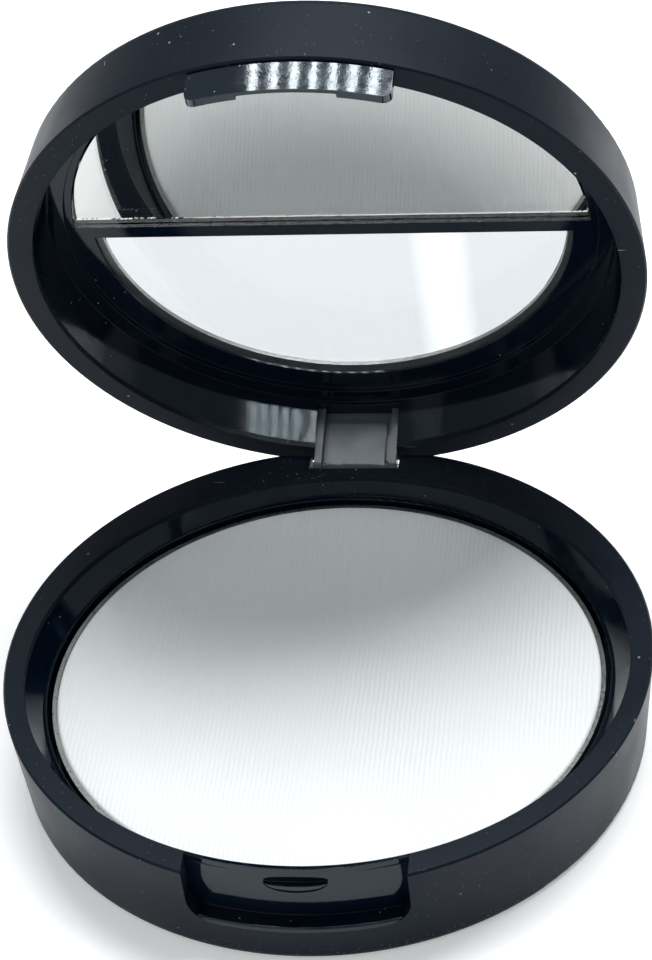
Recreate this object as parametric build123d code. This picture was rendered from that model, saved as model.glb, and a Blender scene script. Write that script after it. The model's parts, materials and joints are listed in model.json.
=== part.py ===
from build123d import *
import os

# Powder compact: a round case with a hinged lid, in millimetres.
# +Z is up, the case rests on Z = 0 with its centre at the origin.
# The hinge is at the back (+Y) and the latch at the front (-Y).
# The lid's pieces are drawn shut, then swung open together to the rest angle.
# Sizes that fit to another piece are worked out from it and a named margin.

# ---------- case ----------
pan_radius = 29.9             # the standard pan that the case is built round
case_margin = 5.1             # from the pan's edge out to the case's rim
case_radius = pan_radius + case_margin
base_lean = 1.0               # the wall leans in towards the table
base_foot_radius = case_radius - base_lean
base_height = 11.5            # table to rim face
floor_thickness = 1.3
foot_round = 1.0
rim_bevel = 0.2
lid_inset = 0.5               # the lid's rim is this much inside the base's
lid_rim_radius = case_radius - lid_inset
lid_lean = 1.2
lid_back_radius = lid_rim_radius - lid_lean
lid_height = 9.5
lid_back_round = 1.3
parting_gap = 0.15            # between the two rim faces when shut
lip_height = 0.7              # rim edge that overhangs the tray and the liner

# ---------- hinge ----------
rest_angle = 74.0             # how far the lid stands open at rest
hinge_inset = 1.8             # axis inside the base's outer edge
hinge_y = case_radius - hinge_inset
hinge_drop = 1.6              # axis below the base's rim face
hinge_round = hinge_drop - 0.05   # rounded back edge of the base, about the axis
pin_radius = 0.55
pin_running_clearance = 0.04
pin_grip = 1.4                # length held in the base at each end
pin_end_room = 0.1
leg_half_width = 4.78
leg_side_room = 0.17
leg_back_reach = 0.3          # the leg's back face, behind the axis
leg_web = 0.8
foot_width = 0.25             # spacer boss beside the left rib
rib_width = 0.88
rib_groove = 0.5
rib_barrel_radius = hinge_drop - 0.15
panel_barrel_radius = 1.0
groove_barrel_radius = 0.85
rib_rise = 5.9                # rib tops above the lid's rim face
panel_rise = 4.1
notch_front_room = 0.45
notch_under_room = 1.15
notch_half_width = leg_half_width + foot_width + leg_side_room
notch_front_y = hinge_y - rib_barrel_radius - notch_front_room
notch_depth = hinge_drop + rib_barrel_radius + notch_under_room
pin_half_length = notch_half_width + pin_grip

# ---------- base tray and its well ----------
rim_width_side = 2.4          # flat rim face beside the well
rim_width_front = 3.0
wall_before_notch = 1.5       # rim face between the well and the hinge notch
well_half_width = case_radius - rim_width_side
well_front = case_radius - rim_width_front
well_back = notch_front_y - wall_before_notch
well_half_length = (well_front + well_back) / 2
well_shift = (well_back - well_front) / 2
tray_side_wall = 0.8
tray_end_wall = 0.45
tray_floor = 1.2
tray_under_gap = 1.5          # hollow under the tray's floor
tray_skirt_inset = 0.9
pan_shift = -1.2
pan_drop = 3.3                # pan's edge below the rim face
pan_wall = 0.45
pan_clearance = 0.55          # dark gap between the pan and the tray
glue_thickness = 0.2
glue_radius = 12.0
ridge_drop = 3.0              # ridge bead below the rim face
ridge_half_width = 0.15
ridge_radius = pan_radius + pan_clearance + ridge_half_width
powder_crown = 0.25           # top of the cake above the pan's edge
powder_shoulder = 0.45

# ---------- latch ----------
tab_half_width = 10.4
tab_reach = 3.8               # below the lid's rim face
tab_side_room = 1.0
tab_end_room = 2.7            # finger room under the tab
tab_back_room = 0.6
tab_corner = 1.2
tab_inset = 0.4               # outer face inside the lid's wall
tab_root_inset = 1.0
tab_root_height = 2.6
tab_root_cover = 0.6          # lid wall outside the root
tab_relief_half_width = 5.0
tab_relief_top = 0.3
catch_half_width = 3.3
catch_proud = 0.7
catch_depth = 1.4             # from its flat top down
catch_drop = 1.75             # flat top below the rim face
catch_room = 0.4
pocket_wall = 2.5             # pocket's back wall inside the base's outer edge
pocket_corner = 2.6
pocket_half_width = tab_half_width + tab_side_room
pocket_depth = tab_reach + tab_end_room
pocket_back_radius = case_radius - pocket_wall
ledge_thickness = 0.6
ledge_inset = 0.6
ledge_round = 0.25
ledge_radius = case_radius - ledge_inset
tab_inner_radius = pocket_back_radius + tab_back_room
tab_outer_radius = lid_rim_radius - tab_inset
tab_root_outer_radius = lid_rim_radius - tab_root_cover
tab_relief_depth = catch_proud - tab_back_room + catch_room

# ---------- lid liner, mirror and window ----------
lid_rim_width = 2.75
lip_radius = lid_rim_radius - lid_rim_width
liner_wall = 0.75
liner_draft = 0.65
liner_radius = lip_radius + liner_wall
back_plate = 1.1              # lid shell behind the liner
tape_thickness = 0.15
tape_inset = 2.0
silver_thickness = 0.1
mirror_thickness = 1.35
mirror_inset = 3.45
mirror_radius = lip_radius - mirror_inset
mirror_cut_y = -0.66          # straight edge of the half mirror
mirror_fit = 0.06
mirror_setback = 0.4          # glass face below the liner's floor
recess_margin = 0.9
recess_radius = mirror_radius + recess_margin
recess_step = 0.6
window_margin = 1.9           # the window's arc inside the mirror's
window_radius = mirror_radius - window_margin
window_cut_y = 1.2            # straight edge of the visible window
window_thickness = 1.1
window_flange = 0.8
window_fit = 0.05
window_plug_inset = 0.5

# ---------- heights worked out from the sizes above ----------
hinge_z = base_height - hinge_drop
hinge_axis = Axis((0, hinge_y, hinge_z), (-1, 0, 0))
lid_z = base_height + parting_gap
lid_top = lid_z + lid_height
plate_z = lid_top - back_plate
silver_z = plate_z - tape_thickness - silver_thickness
mirror_z = silver_z - mirror_thickness
liner_floor_z = mirror_z - mirror_setback
window_z = plate_z - window_thickness
pocket_floor = base_height - pocket_depth
tray_under_z = floor_thickness + tray_under_gap
glue_z = tray_under_z + tray_floor
pan_z = glue_z + glue_thickness
pan_top = base_height - pan_drop
reach = 2 * case_radius       # comfortably past the case, for cutting tools
spare = 1.0                   # how far a cutting tool passes a face it opens


def block(x, y, z):
    """Box between two limits on each axis."""
    size = [high - low for low, high in (x, y, z)]
    middle = [(high + low) / 2 for low, high in (x, y, z)]
    return Pos(*middle) * Box(*size)


def disc(radius, low, high, y=0.0):
    """Upright cylinder between two heights."""
    return Pos(0, y, (low + high) / 2) * Cylinder(radius, high - low)


def bar(radius, x_low, x_high):
    """Cylinder lying along the hinge axis."""
    across = Pos((x_low + x_high) / 2, hinge_y, hinge_z)
    return across * Rot(0, 90, 0) * Cylinder(radius, x_high - x_low)


def turned(points):
    """Solid turned about Z from a profile of (radius, height) points."""
    outline = make_face(Plane.XZ * Polyline(*points, close=True))
    return revolve(outline, Axis.Z)


def oval(extra_x, extra_y, low, high):
    """Upright oval block, the well's mouth grown by two margins."""
    outline = Ellipse(well_half_width + extra_x, well_half_length + extra_y)
    return Pos(0, well_shift, low) * extrude(outline, high - low)


def half_disc(radius, cut_y, low, high, side):
    """D-shaped plate: a disc kept on one side (+1 or -1) of a straight edge."""
    kept = (cut_y, reach) if side > 0 else (-reach, cut_y)
    return disc(radius, low, high) & block((-reach, reach), kept, (low, high))


def ring_edges(solid, height, radius):
    """Round edges of a solid at one height and radius."""
    circles = solid.edges().filter_by(GeomType.CIRCLE)
    return [
        edge for edge in circles
        if abs(edge.center().Z - height) < 0.01 and abs(edge.radius - radius) < 0.01
    ]


def pocket_solid():
    """U-shaped block through the front wall, for the latch pocket."""
    low = pocket_floor - ledge_thickness
    high = base_height + lip_height
    outline = Pos(0, (low + high) / 2) * Rectangle(2 * pocket_half_width, high - low)
    corners = outline.vertices().group_by(Axis.Y)[0]
    outline = fillet(corners, pocket_corner)
    slab = extrude(Plane.XZ * outline, reach)
    return slab & block((-reach, reach), (-reach, -pan_radius / 2), (0, reach))


def well_cutter():
    """Sloping well: oval at the mouth, round at the ridge."""
    ridge_z = base_height - ridge_drop
    lip_z = base_height - lip_height
    mouth = Pos(0, well_shift, lip_z) * Ellipse(well_half_width, well_half_length)
    foot = Pos(0, pan_shift, ridge_z) * Circle(ridge_radius + ridge_half_width)
    slope = loft([foot.face(), mouth.face()])
    seat = disc(pan_radius + pan_clearance, glue_z, ridge_z, pan_shift)
    return slope + seat + oval(0, 0, lip_z, base_height + spare)


def base_shell():
    body = turned([
        (0, 0),
        (base_foot_radius, 0),
        (case_radius, base_height - rim_bevel),
        (case_radius - rim_bevel, base_height),
        (0, base_height),
    ])
    body = fillet(ring_edges(body, 0, base_foot_radius), foot_round)
    lip_z = base_height - lip_height
    body -= oval(tray_side_wall, tray_end_wall, floor_thickness, lip_z)
    body -= oval(0, 0, lip_z, base_height + spare)
    body -= pocket_solid()
    # Rounded back edge, so that the lid's rim rolls around the hinge axis.
    behind = block((-reach, reach), (hinge_y, reach), (hinge_z, reach))
    body -= behind - bar(hinge_round, -reach, reach)
    notch = block(
        (-notch_half_width, notch_half_width),
        (notch_front_y, reach),
        (base_height - notch_depth, reach),
    )
    body -= notch
    # The pin's hole is blind on the left and comes out of the wall on the right.
    body -= bar(pin_radius, -pin_half_length - pin_end_room, reach)
    return body


def catch_bump():
    """Catch: lower half of a flattened ball, with a flat top that holds the tab."""
    top = base_height - catch_drop
    ball = scale(Sphere(1), by=(catch_half_width, catch_proud, catch_depth))
    ball = Pos(0, -pocket_back_radius, top) * ball
    return ball & block((-reach, reach), (-reach, 0), (0, top))


def base_tray():
    lip_z = base_height - lip_height
    body = oval(tray_side_wall, tray_end_wall, floor_thickness, lip_z)
    pocket = pocket_solid()
    below_rim = disc(pocket_back_radius, 0, base_height)
    body += pocket & below_rim
    ledge_low = pocket_floor - ledge_thickness
    ledge = disc(ledge_radius, ledge_low, pocket_floor)
    ledge = fillet(ring_edges(ledge, pocket_floor, ledge_radius), ledge_round)
    body += pocket & ledge
    body += catch_bump()
    body -= well_cutter()
    body -= disc(pan_radius - tray_skirt_inset, floor_thickness, tray_under_z, pan_shift)
    bead = Pos(0, pan_shift, base_height - ridge_drop) * Torus(ridge_radius, ridge_half_width)
    return body + bead


def powder_pan():
    dish = disc(pan_radius, pan_z, pan_top, pan_shift)
    return dish - disc(pan_radius - pan_wall, pan_z + pan_wall, pan_top, pan_shift)


def pan_glue():
    return disc(glue_radius, glue_z, pan_z, pan_shift)


def powder_cake():
    low = pan_z + pan_wall
    high = pan_top + powder_crown
    radius = pan_radius - pan_wall
    cake = disc(radius, low, high, pan_shift)
    return fillet(ring_edges(cake, high, radius), powder_shoulder)


def hinge_pin():
    return bar(pin_radius, -pin_half_length, pin_half_length)


def leg_slot():
    """Room in the lid that the hinge leg fills."""
    return block(
        (-leg_half_width, leg_half_width),
        (0, hinge_y + leg_back_reach),
        (lid_z - spare, lid_z + rib_rise),
    )


def tab_root():
    """Part of the latch tab that is set into the lid's rim."""
    half = tab_half_width - tab_root_inset
    ring = disc(tab_root_outer_radius, lid_z, lid_z + tab_root_height)
    ring -= disc(tab_inner_radius, lid_z, lid_z + tab_root_height)
    return ring & block((-half, half), (-reach, 0), (lid_z, lid_top))


def lid_shell():
    body = turned([
        (0, lid_z),
        (lid_rim_radius - rim_bevel, lid_z),
        (lid_rim_radius, lid_z + rim_bevel),
        (lid_back_radius, lid_top),
        (0, lid_top),
    ])
    body = fillet(ring_edges(body, lid_top, lid_back_radius), lid_back_round)
    body -= disc(lip_radius, lid_z - spare, lid_z + lip_height)
    body -= disc(liner_radius, lid_z + lip_height, plate_z)
    plug_radius = window_radius - window_plug_inset
    body -= half_disc(plug_radius, window_cut_y + window_plug_inset, plate_z, lid_top + spare, 1)
    body -= tab_root()
    return body - leg_slot()


def lid_liner():
    wall_z = lid_z + lip_height
    floor_z = liner_floor_z
    body = turned([
        (0, floor_z),
        (lip_radius - liner_draft, floor_z),
        (lip_radius, wall_z),
        (liner_radius, wall_z),
        (liner_radius, plate_z),
        (0, plate_z),
    ])
    body -= disc(recess_radius, floor_z, floor_z + recess_step)
    body -= half_disc(mirror_radius + mirror_fit, mirror_cut_y + mirror_fit, floor_z, plate_z, -1)
    body -= half_disc(window_radius, window_cut_y, floor_z, plate_z, 1)
    flange_radius = window_radius + window_flange + window_fit
    flange_cut = window_cut_y - window_flange - window_fit
    body -= half_disc(flange_radius, flange_cut, window_z, plate_z, 1)
    return body - leg_slot()


def half_mirror():
    return half_disc(mirror_radius, mirror_cut_y, mirror_z, silver_z, -1)


def mirror_silver():
    return half_disc(mirror_radius, mirror_cut_y, silver_z, silver_z + silver_thickness, -1)


def mirror_tape():
    radius = mirror_radius - tape_inset
    low = silver_z + silver_thickness
    return half_disc(radius, mirror_cut_y - tape_inset, low, plate_z, -1)


def lid_window():
    flange = half_disc(window_radius + window_flange, window_cut_y - window_flange, window_z, plate_z, 1)
    plug_radius = window_radius - window_plug_inset - window_fit
    plug_cut = window_cut_y + window_plug_inset + window_fit
    plug = half_disc(plug_radius, plug_cut, plate_z, lid_top, 1)
    return flange + plug


def latch_tab():
    low = lid_z - tab_reach
    outline = Pos(0, (low + lid_z) / 2) * Rectangle(2 * tab_half_width, tab_reach)
    outline = fillet(outline.vertices().group_by(Axis.Y)[0], tab_corner)
    slab = extrude(Plane.XZ * outline, reach)
    tongue = slab & (disc(tab_outer_radius, low, lid_z) - disc(tab_inner_radius, low, lid_z))
    relief = disc(tab_inner_radius + tab_relief_depth, low, lid_z - tab_relief_top)
    relief &= block((-tab_relief_half_width, tab_relief_half_width), (-reach, 0), (low, lid_z))
    return tongue - relief + tab_root()


def hinge_leg():
    """Leg of the lid: a web, two ribs and a panel that end in a barrel on the pin."""
    back = hinge_y + leg_back_reach
    web_front = back - leg_web
    rib_inner = leg_half_width - rib_width
    panel_half = rib_inner - rib_groove
    rib_top = lid_z + rib_rise
    body = block((-leg_half_width, leg_half_width), (web_front, back), (hinge_z, rib_top))
    body += bar(groove_barrel_radius, -leg_half_width, leg_half_width)
    panel_front = hinge_y - panel_barrel_radius
    body += block((-panel_half, panel_half), (panel_front, back), (hinge_z, lid_z + panel_rise))
    body += bar(panel_barrel_radius, -panel_half, panel_half)
    rib_front = hinge_y - rib_barrel_radius
    for low in (-leg_half_width, rib_inner):
        body += block((low, low + rib_width), (rib_front, back), (hinge_z, rib_top))
        body += bar(rib_barrel_radius, low, low + rib_width)
    body += bar(groove_barrel_radius, -leg_half_width - foot_width, -leg_half_width)
    return body - bar(pin_radius + pin_running_clearance, -reach, reach)


base_parts = {
    "base_shell": base_shell(),
    "base_tray": base_tray(),
    "powder_pan": powder_pan(),
    "pan_glue": pan_glue(),
    "powder_cake": powder_cake(),
    "hinge_pin": hinge_pin(),
}
lid_parts = {
    "lid_shell": lid_shell(),
    "lid_liner": lid_liner(),
    "half_mirror": half_mirror(),
    "mirror_silver": mirror_silver(),
    "mirror_tape": mirror_tape(),
    "lid_window": lid_window(),
    "latch_tab": latch_tab(),
    "hinge_leg": hinge_leg(),
}

os.makedirs("parts", exist_ok=True)
for name, part in base_parts.items():
    export_step(part, os.path.join("parts", name + ".step"))
for name, part in lid_parts.items():
    export_step(part.rotate(hinge_axis, rest_angle), os.path.join("parts", name + ".step"))
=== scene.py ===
import bmesh
import bpy
import json
import math
import random

from mathutils import Matrix, Vector

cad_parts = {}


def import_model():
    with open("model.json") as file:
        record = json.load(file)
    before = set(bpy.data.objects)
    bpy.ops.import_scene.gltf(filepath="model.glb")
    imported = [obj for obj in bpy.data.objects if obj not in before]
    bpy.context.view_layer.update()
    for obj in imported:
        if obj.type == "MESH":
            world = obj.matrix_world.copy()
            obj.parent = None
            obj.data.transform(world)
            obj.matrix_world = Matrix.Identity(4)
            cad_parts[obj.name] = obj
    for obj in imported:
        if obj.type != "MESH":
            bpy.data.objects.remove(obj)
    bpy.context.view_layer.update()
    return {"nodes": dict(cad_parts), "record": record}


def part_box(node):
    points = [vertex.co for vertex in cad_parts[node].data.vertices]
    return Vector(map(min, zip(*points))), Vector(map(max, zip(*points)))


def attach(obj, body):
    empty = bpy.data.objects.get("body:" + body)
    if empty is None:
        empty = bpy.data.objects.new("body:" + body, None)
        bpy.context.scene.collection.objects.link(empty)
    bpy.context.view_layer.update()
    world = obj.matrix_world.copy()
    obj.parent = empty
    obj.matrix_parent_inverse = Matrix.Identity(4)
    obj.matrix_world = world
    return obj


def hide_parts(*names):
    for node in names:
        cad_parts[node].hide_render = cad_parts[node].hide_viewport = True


# Looks of the powder compact: materials, finer meshes for the powder, the mirror and the window,
# then the floor, the lights and the camera. Metres throughout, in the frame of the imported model.

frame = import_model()

MM = 0.001

# ---------- colours ----------
BLACK = (0.0026, 0.0058, 0.0115)
BLACK_GLOSS = (0.0009, 0.0040, 0.0100)
GLOSS_TINT = (0.82, 0.93, 1.0)          # the black plastic's sheen is a little bluish
DUST = (0.42, 0.43, 0.44)
# painted sheen: both leg colours are lifted far above the black plastic to stand in for the light the leg's
# faces catch; the darker one follows greasy smudges
LEG_SHEEN_PALE = (0.082, 0.100, 0.120)
LEG_SHEEN_SMUDGED = (0.036, 0.048, 0.062)
POWDER = (0.86, 0.885, 0.885)
POWDER_LOW = (0.80, 0.825, 0.825)
CRUMB = (0.45, 0.45, 0.44)
PAN_METAL = (0.30, 0.32, 0.315)
PAN_STAIN = (0.20, 0.215, 0.21)
GLASS = (0.985, 0.99, 0.985)
EDGE_INK = (0.012, 0.016, 0.018)
EDGE_CHIP = (0.20, 0.22, 0.22)
SILVER = (0.925, 0.915, 0.905)
SILVER_HAZE = (0.895, 0.885, 0.875)
WINDOW = (0.58, 0.60, 0.61)
# painted light: the lighter tint of the window's bright stripe
WINDOW_PAINTED_STRIPE = (0.80, 0.815, 0.82)
WINDOW_SIDE = (0.42, 0.45, 0.46)
WINDOW_SIDE_PALE = (0.60, 0.63, 0.64)
GLUE = (0.55, 0.48, 0.30)
PIN_STEEL = (0.55, 0.55, 0.56)
TAPE = (0.70, 0.70, 0.68)
FLOOR = (0.93, 0.94, 0.95)
FLOOR_LOW = (0.90, 0.91, 0.92)
SKY_COLOUR = (0.90, 0.96, 1.0)

# ---------- surfaces ----------
MATTE_SHINE = 0.15
GLOSS_SHINE = 0.38
TAB_SHINE = 0.62
EDGE_SOFTNESS = 0.12 * MM               # how round the case's edges look
LEG_EDGE_SOFTNESS = 0.10 * MM
FINE_GRAIN = 0.01 * MM                  # depths of surface relief
DRAG_DEPTH = 0.02 * MM
GROUND_DEPTH = 0.03 * MM
RIPPLE_DEPTH = 0.20 * MM
GLASS_IOR = 1.52
ACRYLIC_IOR = 1.49
NOISE_LOW = 0.3                         # most of a noise pattern lies between these
NOISE_HIGH = 0.7

# ---------- dirt, marks and painted highlights ---
FOOT_DUSTY_BELOW = 0.4 * MM
FOOT_CLEAN_ABOVE = 2.4 * MM
WELL_EDGE_GLINTS = (-7.5 * MM, 29.2 * MM, 11.3 * MM)     # painted highlight: light specks on the well's rear edge for the dotted glints of the lights
WELL_EDGE_GLINTS_REACH = 4.8 * MM
PAINTED_STRIPE_X = 11.5 * MM                    # middle of the window's bright stripe, a painted highlight
PAINTED_STRIPE_HALF = 3.5 * MM
PAINTED_STRIPE_CORE = 1.0 * MM

# ---------- powder cake ----------
RIB_PITCH = 0.53 * MM
RIB_HEIGHT = 0.060 * MM
STEPS_PER_RIB = 8
CAKE_ROWS = 150
CAKE_SHOULDER = 0.45 * MM
CAKE_LIFT = 0.01 * MM                   # keeps the cake's underside off the pan's floor

# ---------- mirror and window ----------
ARC_STEPS = 420
CUT_STEPS = 260
SILVER_GAP = 0.012 * MM                 # keeps faces that would coincide apart
GLASS_GROUND = 0.12 * MM                # ground corner of the mirror's glass
CHIP_DEPTH = 0.16 * MM                  # deepest chip in the mirror's cut edge
CHIP_RARITY = 6                         # the higher, the fewer the deep chips
CHIP_SEED = 5
WINDOW_STEP = 1.35 * MM                 # how far the window's flange reaches past its plug
WINDOW_SOFT = 0.08 * MM

# ---------- floor and lights ----------
FLOOR_HALF = 1.5
FLOOR_STEPS = 6
FLOOR_DROP = 0.02 * MM
FLOOR_GLOW = 0.28                       # lifts the paper to a clean white
BARS = 12
BARS_LEFT = -0.163
BAR_PITCH = 0.052
BAR_WIDTH = 0.021
BAR_LENGTH = 0.30
BAR_BACK = 0.23
BAR_UP = 0.624
BAR_AIM_SHARE = 0.6                     # the bars aim inwards, towards the lid
BAR_AIM_UP = 0.03
BAR_POWER = 0.43
FRONT_AT = (-0.30, -0.60, 0.45)
FRONT_WIDTH = 0.50
FRONT_HEIGHT = 0.30
FRONT_POWER = 0.8
SKY = 0.40

# ---------- camera ----------
CAMERA_AT_MM = (43.50, -242.49, 230.49)
CAMERA_TURN = 9.71                      # degrees round the case from its front
CAMERA_HEIGHT = 38.47                   # degrees above the horizon
CAMERA_TILT = -6.32                     # degrees that the frame is rolled
CAMERA_LENS = 114.77
CAMERA_SENSOR = 36


# ---------- shader building blocks ----------

def material(name):
    """An empty node material with one Principled shader."""
    made = bpy.data.materials.new(name)
    made.use_nodes = True
    return made, made.node_tree, made.node_tree.nodes["Principled BSDF"]


def node(tree, kind, **settings):
    """A node with its properties set."""
    made = tree.nodes.new(kind)
    for key, value in settings.items():
        setattr(made, key, value)
    return made


def place(tree, stretch=(1, 1, 1), turn=(0, 0, 0)):
    """The piece's own coordinates in metres, stretched and turned."""
    coords = node(tree, "ShaderNodeTexCoord")
    mapping = node(tree, "ShaderNodeMapping", vector_type="POINT")
    mapping.inputs["Scale"].default_value = stretch
    mapping.inputs["Rotation"].default_value = turn
    tree.links.new(coords.outputs["Object"], mapping.inputs["Vector"])
    return mapping.outputs["Vector"]


def noise(tree, scale, detail=2.0, rough=0.5, stretch=(1, 1, 1)):
    """Cloudy pattern from 0 to 1. The scale is its clumps per metre."""
    made = node(tree, "ShaderNodeTexNoise")
    made.inputs["Scale"].default_value = scale
    made.inputs["Detail"].default_value = detail
    made.inputs["Roughness"].default_value = rough
    tree.links.new(place(tree, stretch), made.inputs["Vector"])
    return made.outputs["Fac"]


def remap(tree, value, low, high, to_low=0.0, to_high=1.0):
    """Moves a value from one range to another, and stops at its ends."""
    made = node(tree, "ShaderNodeMapRange")
    made.inputs["From Min"].default_value = low
    made.inputs["From Max"].default_value = high
    made.inputs["To Min"].default_value = to_low
    made.inputs["To Max"].default_value = to_high
    tree.links.new(value, made.inputs["Value"])
    return made.outputs["Result"]


def vary(tree, pattern, low, high):
    """A value from low to high that follows a noise pattern, which mostly keeps to its middle range."""
    return remap(tree, pattern, NOISE_LOW, NOISE_HIGH, low, high)


def combine(tree, kind, first, second):
    """Maths on two values, either of which may be a plain number."""
    made = node(tree, "ShaderNodeMath", operation=kind)
    for socket, value in zip(made.inputs, (first, second)):
        if isinstance(value, (int, float)):
            socket.default_value = value
        else:
            tree.links.new(value, socket)
    return made.outputs["Value"]


def times(tree, first, second):
    """Product of two values, either of which may be a plain number."""
    return combine(tree, "MULTIPLY", first, second)


def highest(tree, first, *others):
    """The highest of several values."""
    for other in others:
        first = combine(tree, "MAXIMUM", first, other)
    return first


def blend_colour(tree, amount, under, over):
    """Colour that goes from one to another by an amount."""
    made = node(tree, "ShaderNodeMix", data_type="RGBA")
    for name, colour in (("A", under), ("B", over)):
        socket = next(s for s in made.inputs if s.name == name and s.type == "RGBA")
        if isinstance(colour, tuple):
            socket.default_value = (*colour, 1.0)
        else:
            tree.links.new(colour, socket)
    tree.links.new(amount, made.inputs["Factor"])
    return next(s for s in made.outputs if s.type == "RGBA")


def specks(tree, per_metre, size, kept, turn=0.0, stretch=(1, 1, 1)):
    """Dust specks, or short scratches if stretched: the kept share of a cell pattern's cells holds one."""
    cells = node(tree, "ShaderNodeTexVoronoi", feature="F1")
    cells.inputs["Scale"].default_value = per_metre
    tree.links.new(place(tree, stretch, (turn, turn, 0.3 + turn)), cells.inputs["Vector"])
    near = remap(tree, cells.outputs["Distance"], size, size * 0.5)
    pick = node(tree, "ShaderNodeSeparateColor")
    tree.links.new(cells.outputs["Color"], pick.inputs["Color"])
    chosen = remap(tree, pick.outputs["Red"], kept, kept * 0.8)
    return times(tree, near, chosen)


def scratches(tree, per_metre, width, kept):
    """Short fine scratches in two directions."""
    along = specks(tree, per_metre, width, kept, turn=0.8, stretch=(1, 0.07, 1))
    across = specks(tree, per_metre, width, kept, turn=2.1, stretch=(0.07, 1, 1))
    return highest(tree, along, across)


def near_height(tree, low, high):
    """1 below one height on the piece, fading to 0 at another."""
    part = node(tree, "ShaderNodeSeparateXYZ")
    tree.links.new(place(tree), part.inputs["Vector"])
    return remap(tree, part.outputs["Z"], high, low)


def near_point(tree, centre, radius):
    """1 round a place on the piece, fading to 0 a radius away."""
    away = node(tree, "ShaderNodeVectorMath", operation="DISTANCE")
    tree.links.new(place(tree), away.inputs[0])
    away.inputs[1].default_value = centre
    return remap(tree, away.outputs["Value"], radius, radius * 0.6)


def painted_bright_stripe(tree):
    """1 along the window's bright stripe, which is painted light, fading to 0 at its sides."""
    across = node(tree, "ShaderNodeSeparateXYZ")
    tree.links.new(place(tree), across.inputs["Vector"])
    off_middle = combine(tree, "SUBTRACT", across.outputs["X"], PAINTED_STRIPE_X)
    off_middle = combine(tree, "ABSOLUTE", off_middle, 0)
    return remap(tree, off_middle, PAINTED_STRIPE_HALF, PAINTED_STRIPE_CORE)


def bump(tree, shader, height, distance, strength, edge=0.0):
    """Relief from a height, on edges that are rounded a little if an edge radius is given."""
    made = node(tree, "ShaderNodeBump")
    if edge:
        rounded = node(tree, "ShaderNodeBevel", samples=4)
        rounded.inputs["Radius"].default_value = edge
        tree.links.new(rounded.outputs["Normal"], made.inputs["Normal"])
    made.inputs["Distance"].default_value = distance
    made.inputs["Strength"].default_value = strength
    tree.links.new(height, made.inputs["Height"])
    tree.links.new(made.outputs["Normal"], shader.inputs["Normal"])


def uneven_gloss(tree, shader, pattern, low, high, dirt, dirt_rough):
    """Roughness that follows a pattern, and is higher where there is dirt."""
    clean = vary(tree, pattern, low, high)
    rough = combine(tree, "ADD", clean, times(tree, dirt, dirt_rough))
    tree.links.new(rough, shader.inputs["Roughness"])


# ---------- materials ----------

def matte_case():
    """Spark-eroded black plastic with dust, short scratches and a dusty foot, and a painted highlight:
    light specks on the well's rear edge by the hinge, for the dotted glints of the lights there.
    """
    made, tree, shader = material("case_matte")
    grain = noise(tree, scale=9000, detail=3, rough=0.6)
    smear = noise(tree, scale=110, detail=3)
    dust = times(tree, specks(tree, per_metre=900, size=0.15, kept=0.07), 0.6)
    fine = times(tree, specks(tree, per_metre=2600, size=0.16, kept=0.10, turn=1.1), 0.4)
    lines = times(tree, scratches(tree, per_metre=1500, width=0.10, kept=0.035), 0.55)
    foot = specks(tree, per_metre=4200, size=0.26, kept=0.22, turn=0.5)
    foot = times(tree, foot, near_height(tree, FOOT_DUSTY_BELOW, FOOT_CLEAN_ABOVE))
    # painted highlight: light specks along the well's rear edge, standing in for the dotted glints of the
    # lights
    edge = specks(tree, per_metre=2600, size=0.24, kept=0.35, turn=0.9)
    edge = times(tree, edge, near_point(tree, WELL_EDGE_GLINTS, WELL_EDGE_GLINTS_REACH))
    # dirt here also holds the painted glints on the well's edge
    dirt = highest(tree, dust, fine, lines, foot, times(tree, edge, 0.8))
    tree.links.new(blend_colour(tree, dirt, BLACK, DUST), shader.inputs["Base Color"])
    uneven_gloss(tree, shader, smear, 0.34, 0.46, dirt, 0.3)
    height = combine(tree, "ADD", grain, times(tree, dirt, 2.0))
    bump(tree, shader, height, FINE_GRAIN, 0.5, EDGE_SOFTNESS)
    shader.inputs["Specular IOR Level"].default_value = MATTE_SHINE
    shader.inputs["Specular Tint"].default_value = (*GLOSS_TINT, 1.0)
    return made


def gloss_case(name="case_gloss", dust_share=0.05, dent_height=0.0, shine=GLOSS_SHINE):
    """Polished black plastic with a slight moulding ripple, hairlines and dust, and dents if asked for."""
    made, tree, shader = material(name)
    ripple = noise(tree, scale=60)
    fine = noise(tree, scale=900)
    dust = times(tree, specks(tree, per_metre=1300, size=0.13, kept=dust_share, turn=0.7), 0.6)
    lines = times(tree, scratches(tree, per_metre=1300, width=0.06, kept=0.04), 0.25)
    dirt = highest(tree, dust, lines)
    tree.links.new(blend_colour(tree, dirt, BLACK_GLOSS, DUST), shader.inputs["Base Color"])
    uneven_gloss(tree, shader, fine, 0.06, 0.11, dirt, 0.5)
    dents = times(tree, noise(tree, scale=750, detail=3, rough=0.7), dent_height)
    bump(tree, shader, combine(tree, "ADD", ripple, dents), RIPPLE_DEPTH, 0.35, EDGE_SOFTNESS)
    shader.inputs["Specular IOR Level"].default_value = shine
    shader.inputs["Specular Tint"].default_value = (*GLOSS_TINT, 1.0)
    return made


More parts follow.
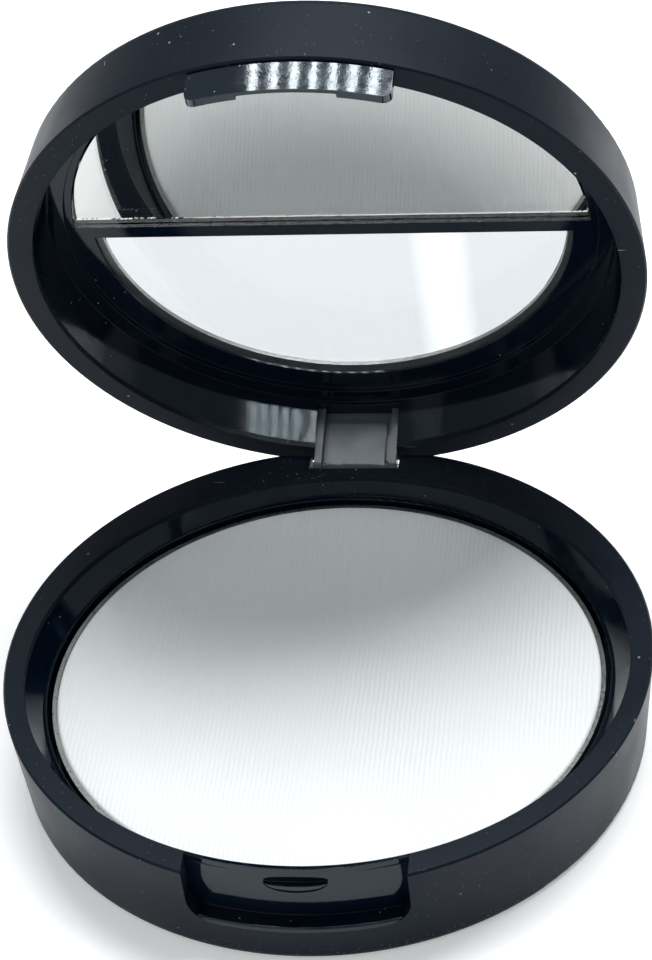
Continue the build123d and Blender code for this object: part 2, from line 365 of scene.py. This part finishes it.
def hinge_plastic():
    """Satin dark plastic of the leg, with drag lines from the mould and greasy smudges; its colour is
    lifted to a grey that is a painted sheen, the light its faces catch.
    """
    made, tree, shader = material("hinge_plastic")
    drag = noise(tree, scale=3500, stretch=(1, 0.05, 0.05))
    smudge = noise(tree, scale=420, detail=4, rough=0.6)
    dust = specks(tree, per_metre=2600, size=0.12, kept=0.05, turn=0.4)
    # painted sheen, mottled by greasy smudges
    tone = blend_colour(tree, smudge, LEG_SHEEN_PALE, LEG_SHEEN_SMUDGED)
    tree.links.new(blend_colour(tree, dust, tone, DUST), shader.inputs["Base Color"])
    tree.links.new(vary(tree, smudge, 0.27, 0.42), shader.inputs["Roughness"])
    bump(tree, shader, drag, DRAG_DEPTH, 0.4, LEG_EDGE_SOFTNESS)
    return made


def pan_metal():
    """Thin sheet metal of the pan, dull, faintly brushed and slightly stained."""
    made, tree, shader = material("pan_metal")
    stain = noise(tree, scale=300, detail=3)
    brushed = noise(tree, scale=2600, stretch=(1, 1, 12))
    tree.links.new(blend_colour(tree, stain, PAN_METAL, PAN_STAIN), shader.inputs["Base Color"])
    shader.inputs["Metallic"].default_value = 1.0
    tree.links.new(vary(tree, brushed, 0.25, 0.42), shader.inputs["Roughness"])
    bump(tree, shader, brushed, FINE_GRAIN, 0.3)
    return made


def powder():
    """Pressed powder: satin, very fine grained, a little uneven in tone, with a few crumbs."""
    made, tree, shader = material("powder")
    cloud = noise(tree, scale=70, detail=3)
    grain = noise(tree, scale=12000, rough=0.7)
    crumbs = times(tree, specks(tree, per_metre=700, size=0.07, kept=0.05, turn=0.2), 0.35)
    tone = blend_colour(tree, cloud, POWDER_LOW, POWDER)
    tree.links.new(blend_colour(tree, crumbs, tone, CRUMB), shader.inputs["Base Color"])
    tree.links.new(vary(tree, grain, 0.42, 0.55), shader.inputs["Roughness"])
    bump(tree, shader, grain, FINE_GRAIN, 0.35)
    shader.inputs["Sheen Weight"].default_value = 0.15
    shader.inputs["Sheen Roughness"].default_value = 0.4
    return made


def mirror_glass():
    """Clear glass of the mirror, with a few specks of dust."""
    made, tree, shader = material("mirror_glass")
    dust = specks(tree, per_metre=900, size=0.06, kept=0.06, turn=0.9)
    tree.links.new(blend_colour(tree, dust, GLASS, DUST), shader.inputs["Base Color"])
    tree.links.new(times(tree, dust, 0.6), shader.inputs["Roughness"])
    shader.inputs["Transmission Weight"].default_value = 1.0
    shader.inputs["IOR"].default_value = GLASS_IOR
    return made


def ground_edge():
    """Ground and inked edge of the mirror's glass: dull grey with bright chips."""
    made, tree, shader = material("mirror_edge")
    streak = noise(tree, scale=2600, detail=3, rough=0.7, stretch=(0.35, 1, 1))
    bare = remap(tree, streak, 0.42, 0.72)
    tree.links.new(blend_colour(tree, bare, EDGE_INK, EDGE_CHIP), shader.inputs["Base Color"])
    tree.links.new(vary(tree, streak, 0.18, 0.40), shader.inputs["Roughness"])
    bump(tree, shader, streak, GROUND_DEPTH, 0.6)
    return made


def silver_coat():
    """Silver behind the glass, very slightly hazy."""
    made, tree, shader = material("silver_coat")
    haze = noise(tree, scale=240, detail=3)
    tree.links.new(blend_colour(tree, haze, SILVER, SILVER_HAZE), shader.inputs["Base Color"])
    tree.links.new(vary(tree, haze, 0.0, 0.02), shader.inputs["Roughness"])
    shader.inputs["Metallic"].default_value = 1.0
    return made


def window_clear():
    """Clear acrylic with finger smudges, dust, a few hairlines, and a lighter vertical stripe that is
    painted light seen through it.
    """
    made, tree, shader = material("window_clear")
    smudge = noise(tree, scale=90, detail=4, rough=0.6)
    dust = specks(tree, per_metre=800, size=0.07, kept=0.10, turn=0.5)
    lines = times(tree, scratches(tree, per_metre=1400, width=0.10, kept=0.05), 0.4)
    dirt = highest(tree, dust, lines)
    # painted light: the window is lighter along the stripe
    haze = blend_colour(tree, painted_bright_stripe(tree), WINDOW, WINDOW_PAINTED_STRIPE)
    tree.links.new(blend_colour(tree, dirt, haze, DUST), shader.inputs["Base Color"])
    smeared = remap(tree, smudge, 0.48, 0.75, 0.0, 0.16)
    rough = combine(tree, "ADD", smeared, times(tree, dirt, 0.5))
    tree.links.new(rough, shader.inputs["Roughness"])
    shader.inputs["Transmission Weight"].default_value = 1.0
    shader.inputs["IOR"].default_value = ACRYLIC_IOR
    return made


def window_edge():
    """Unpolished sides of the clear window."""
    made, tree, shader = material("window_edge")
    drag = noise(tree, scale=1800, detail=3)
    tone = blend_colour(tree, drag, WINDOW_SIDE, WINDOW_SIDE_PALE)
    tree.links.new(tone, shader.inputs["Base Color"])
    tree.links.new(vary(tree, drag, 0.45, 0.6), shader.inputs["Roughness"])
    shader.inputs["Transmission Weight"].default_value = 0.8
    shader.inputs["IOR"].default_value = ACRYLIC_IOR
    return made


def plain_grained(name, colour, rough, metallic=0.0):
    """Material for the small or hidden pieces: one colour with a fine uneven grain."""
    made, tree, shader = material(name)
    grain = noise(tree, scale=1500, detail=3)
    darker = tuple(0.75 * c for c in colour)
    tree.links.new(blend_colour(tree, grain, darker, colour), shader.inputs["Base Color"])
    tree.links.new(vary(tree, grain, rough * 0.85, rough * 1.15), shader.inputs["Roughness"])
    shader.inputs["Metallic"].default_value = metallic
    bump(tree, shader, grain, FINE_GRAIN, 0.3)
    return made


def floor_paper():
    """Pale paper with a faint grain, which glows a little."""
    made, tree, shader = material("floor_paper")
    grain = noise(tree, scale=600, detail=3)
    tree.links.new(blend_colour(tree, grain, FLOOR_LOW, FLOOR), shader.inputs["Base Color"])
    shader.inputs["Roughness"].default_value = 0.8
    shader.inputs["Emission Color"].default_value = (1, 1, 1, 1)
    shader.inputs["Emission Strength"].default_value = FLOOR_GLOW
    return made


def paint(name, finish):
    """Gives a CAD node a finish in every material slot."""
    piece = frame["nodes"][name]
    for slot in piece.material_slots:
        slot.link = "OBJECT"
        slot.material = finish
    if not piece.material_slots:
        piece.data.materials.append(finish)


# ---------- meshes ----------

def new_object(name, points, faces, finish, smooth=False):
    """A mesh object in the scene."""
    mesh = bpy.data.meshes.new(name)
    mesh.from_pydata(points, [], faces)
    mesh.validate()
    mesh.materials.append(finish)
    for polygon in mesh.polygons:
        polygon.use_smooth = smooth
    made = bpy.data.objects.new(name, mesh)
    bpy.context.scene.collection.objects.link(made)
    return made


def grid_faces(columns, rows):
    """Faces of a grid whose points are listed column by column."""
    faces = []
    for i in range(columns):
        for j in range(rows):
            a = i * (rows + 1) + j
            faces.append((a, a + rows + 1, a + rows + 2, a + 1))
    return faces


def lid_turn():
    """Matrix that swings a piece drawn on the shut lid to where the lid stands at rest."""
    hinge = frame["record"]["behaviour"]["joints"][0]
    opened = -math.radians(hinge["range_deg"][0])
    centre = Matrix.Translation(Vector(hinge["pos_m"]))
    return centre @ Matrix.Rotation(opened, 4, Vector(hinge["axis"])) @ centre.inverted()


def shut_box(name):
    """Lowest and highest corner of one of the lid's CAD nodes, with the lid shut."""
    back = lid_turn().inverted()
    points = [back @ v.co for v in frame["nodes"][name].data.vertices]
    low = Vector(min(p[k] for p in points) for k in range(3))
    high = Vector(max(p[k] for p in points) for k in range(3))
    return low, high


def d_outline(radius, cut, side, z, chips=0.0):
    """Half-moon outline: an arc, then the straight cut, which may be a little chipped."""
    dice = random.Random(CHIP_SEED)
    reach = math.sqrt(radius * radius - cut * cut)
    first = math.atan2(cut, reach)
    sweep = math.pi - 2 * first if side > 0 else math.pi + 2 * first
    points = []
    for k in range(ARC_STEPS):
        angle = first + side * sweep * k / ARC_STEPS
        points.append((radius * math.cos(angle), radius * math.sin(angle), z))
    for k in range(CUT_STEPS):
        x = -reach + 2 * reach * k / CUT_STEPS
        bite = chips * dice.random() ** CHIP_RARITY
        points.append((x, cut + side * bite, z))
    return points


def edge_faces(made, finish, count, rings, first):
    """Gives the side faces, from one step of the outline on, their own finish, but not the bevels."""
    made.data.materials.append(finish)
    for r in range(1, rings - 2):
        for k in range(first, count):
            made.data.polygons[1 + r * count + k].material_index = 1


def face_outwards(made):
    """Turns every face of a closed mesh outwards."""
    outward = bmesh.new()
    outward.from_mesh(made.data)
    bmesh.ops.recalc_face_normals(outward, faces=outward.faces)
    outward.to_mesh(made.data)
    outward.free()


def d_solid(name, rings, side, finish, cover, chips=0.0, edge=None, edge_from=0):
    """Closed half-moon piece through rings of (radius, cut, height), drawn on the shut lid."""
    points = []
    for index, (radius, cut, z) in enumerate(rings):
        points += d_outline(radius, cut, side, z, chips if index == 0 else 0.0)
    count = ARC_STEPS + CUT_STEPS
    faces = [tuple(range(count))]
    for r in range(len(rings) - 1):
        for k in range(count):
            after = (k + 1) % count
            faces.append((r * count + after, r * count + k, (r + 1) * count + k, (r + 1) * count + after))
    last = (len(rings) - 1) * count
    faces.append(tuple(last + k for k in range(count - 1, -1, -1)))
    turn = lid_turn()
    made = new_object(name, [turn @ Vector(p) for p in points], faces, finish)
    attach(made, "lid")
    if edge is not None:
        edge_faces(made, edge, count, len(rings), edge_from)
    face_outwards(made)
    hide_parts(cover)


def half_mirror():
    """Glass with a ground, slightly chipped edge, and the silver just behind it."""
    low, high = shut_box("half_mirror")
    radius = (high.x - low.x) / 2
    cut = high.y
    ground = GLASS_GROUND
    glass_rings = [
        (radius - ground, cut - ground, low.z),
        (radius, cut, low.z + ground),
        (radius, cut, high.z - ground),
        (radius - ground, cut - ground, high.z - SILVER_GAP),
    ]
    d_solid(
        "mirror_pane", glass_rings, -1, mirror_glass(), "half_mirror",
        chips=CHIP_DEPTH, edge=ground_edge(), edge_from=ARC_STEPS,
    )
    low, high = shut_box("mirror_silver")
    silver_rings = [(radius - ground, cut - ground, low.z), (radius - ground, cut - ground, high.z)]
    d_solid("mirror_back", silver_rings, -1, silver_coat(), "mirror_silver")


def window_pane():
    """Clear window: a flange inside the lid and a plug through its back, with soft corners."""
    low, high = shut_box("lid_window")
    radius = (high.x - low.x) / 2
    plate = shut_box("lid_liner")[1].z
    cut = low.y
    soft = WINDOW_SOFT
    step = WINDOW_STEP
    rings = [
        (radius - soft, cut + soft, low.z),
        (radius, cut, low.z + soft),
        (radius, cut, plate - SILVER_GAP),
        (radius - step, cut + step, plate - SILVER_GAP),
        (radius - step, cut + step, high.z - soft),
        (radius - step - soft, cut + step + soft, high.z),
    ]
    d_solid("window_pane", rings, 1, window_clear(), "lid_window", edge=window_edge())


def cake_top(x, y, radius, top):
    """Height of the cake at a place: a rounded shoulder, and ribs that fade out towards it."""
    inset = max(0.0, radius - math.hypot(x, y))
    crown = top - 2 * RIB_HEIGHT
    if inset < CAKE_SHOULDER:
        along = inset / CAKE_SHOULDER
        crown -= CAKE_SHOULDER * (1 - math.sqrt(max(0.0, 1 - (1 - along) ** 2)))
    fade = min(1.0, inset / (1.5 * CAKE_SHOULDER))
    # The ribs wander a little sideways, and some places are pressed deeper than others.
    wander = 0.35 * math.sin(900 * y + 60 * x) + 0.2 * math.sin(2100 * y)
    phase = 2 * math.pi * x / RIB_PITCH + wander
    tall = 0.75 + 0.25 * math.sin(310 * x + 130 * y)
    return crown + RIB_HEIGHT * tall * fade * (0.5 + 0.5 * math.cos(phase))


def ribbed_cake():
    """Pressed cake with fine straight ribs from front to back and a rounded shoulder."""
    low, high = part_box("powder_cake")
    centre_x = (low.x + high.x) / 2
    centre_y = (low.y + high.y) / 2
    radius = (high.x - low.x) / 2
    columns = int(2 * radius / RIB_PITCH) * STEPS_PER_RIB
    rows = CAKE_ROWS
    # A square grid pressed onto the disc, column by column, so the ribs stay straight.
    points = []
    for i in range(columns + 1):
        x = -radius + 2 * radius * i / columns
        reach = math.sqrt(max(0.0, radius * radius - x * x))
        for j in range(rows + 1):
            # Rows crowd towards both ends, where the shoulder turns down.
            y = -reach * math.cos(math.pi * j / rows)
            points.append((centre_x + x, centre_y + y, cake_top(x, y, radius, high.z)))
    faces = grid_faces(columns, rows)
    # Side wall down to the pan's floor, and the underside.
    rim = [i * (rows + 1) for i in range(columns + 1)]
    rim += [i * (rows + 1) + rows for i in range(columns, -1, -1)]
    first = len(points)
    points += [(points[index][0], points[index][1], low.z + CAKE_LIFT) for index in rim]
    count = len(rim)
    for k in range(count):
        following = (k + 1) % count
        faces.append((rim[following], rim[k], first + k, first + following))
    faces.append(tuple(first + k for k in range(count - 1, -1, -1)))
    made = new_object("powder_ribbed", points, faces, powder(), smooth=True)
    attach(made, "base")
    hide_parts("powder_cake")


# ---------- surroundings ----------

def floor():
    """Plain pale floor just under the case."""
    marks = [FLOOR_HALF * (2 * k / FLOOR_STEPS - 1) for k in range(FLOOR_STEPS + 1)]
    points = [(x, y, 0) for x in marks for y in marks]
    made = new_object("floor", points, grid_faces(FLOOR_STEPS, FLOOR_STEPS), floor_paper())
    made.location.z = -FLOOR_DROP


def softbox(name, at, towards, width, height, power):
    """A rectangular light that faces a place."""
    light = bpy.data.lights.new(name, "AREA")
    light.shape = "RECTANGLE"
    light.size = width
    light.size_y = height
    light.energy = power
    made = bpy.data.objects.new(name, light)
    made.location = at
    made.rotation_mode = "QUATERNION"
    made.rotation_quaternion = (Vector(towards) - Vector(at)).to_track_quat("-Z", "Y")
    bpy.context.scene.collection.objects.link(made)


def overhead_bars():
    """A row of bar lights above and behind: they shine past the lid onto the front of the powder."""
    for k in range(BARS):
        x = BARS_LEFT + k * BAR_PITCH
        at = (x, BAR_BACK, BAR_UP)
        towards = (x * BAR_AIM_SHARE, 0, BAR_AIM_UP)
        softbox(f"bar_{k}", at, towards, BAR_WIDTH, BAR_LENGTH, BAR_POWER)


def world():
    """Dim bluish light from all round."""
    made = bpy.data.worlds.new("studio")
    made.use_nodes = True
    sky = made.node_tree.nodes["Background"]
    sky.inputs["Color"].default_value = (*SKY_COLOUR, 1.0)
    sky.inputs["Strength"].default_value = SKY
    bpy.context.scene.world = made


def camera():
    """The viewing angle: turn, height above the horizon and a small tilt of the frame."""
    azimuth, elevation, roll = (math.radians(v) for v in (CAMERA_TURN, CAMERA_HEIGHT, CAMERA_TILT))
    back = Vector((
        math.sin(azimuth) * math.cos(elevation),
        -math.cos(azimuth) * math.cos(elevation),
        math.sin(elevation),
    ))
    right = Vector((math.cos(azimuth), math.sin(azimuth), 0))
    up = back.cross(right)
    turned_right = math.cos(roll) * right + math.sin(roll) * up
    turned_up = -math.sin(roll) * right + math.cos(roll) * up
    data = bpy.data.cameras.new("camera")
    data.sensor_width = CAMERA_SENSOR
    data.lens = CAMERA_LENS
    data.clip_start = 0.01
    data.clip_end = 10
    made = bpy.data.objects.new("camera", data)
    bpy.context.scene.collection.objects.link(made)
    turn = Matrix((turned_right, turned_up, back)).transposed()
    made.matrix_world = Matrix.Translation(Vector(CAMERA_AT_MM) * MM) @ turn.to_4x4()
    bpy.context.scene.camera = made


camera()
world()
floor()
overhead_bars()
softbox("front", FRONT_AT, (0, 0, 0), FRONT_WIDTH, FRONT_HEIGHT, FRONT_POWER)

matte = matte_case()
gloss = gloss_case()
finishes = {
    "base_shell": matte,
    "lid_shell": matte,
    "base_tray": gloss,
    "lid_liner": gloss,
    "latch_tab": gloss_case("tab_gloss", dust_share=0.12, dent_height=0.13, shine=TAB_SHINE),
    "hinge_leg": hinge_plastic(),
    "powder_pan": pan_metal(),
    "pan_glue": plain_grained("glue", GLUE, 0.4),
    "hinge_pin": plain_grained("pin_steel", PIN_STEEL, 0.25, metallic=1.0),
    "mirror_tape": plain_grained("tape", TAPE, 0.6),
}
for name, finish in finishes.items():
    paint(name, finish)
ribbed_cake()
half_mirror()
window_pane()

bpy.context.scene.view_settings.view_transform = "Standard"
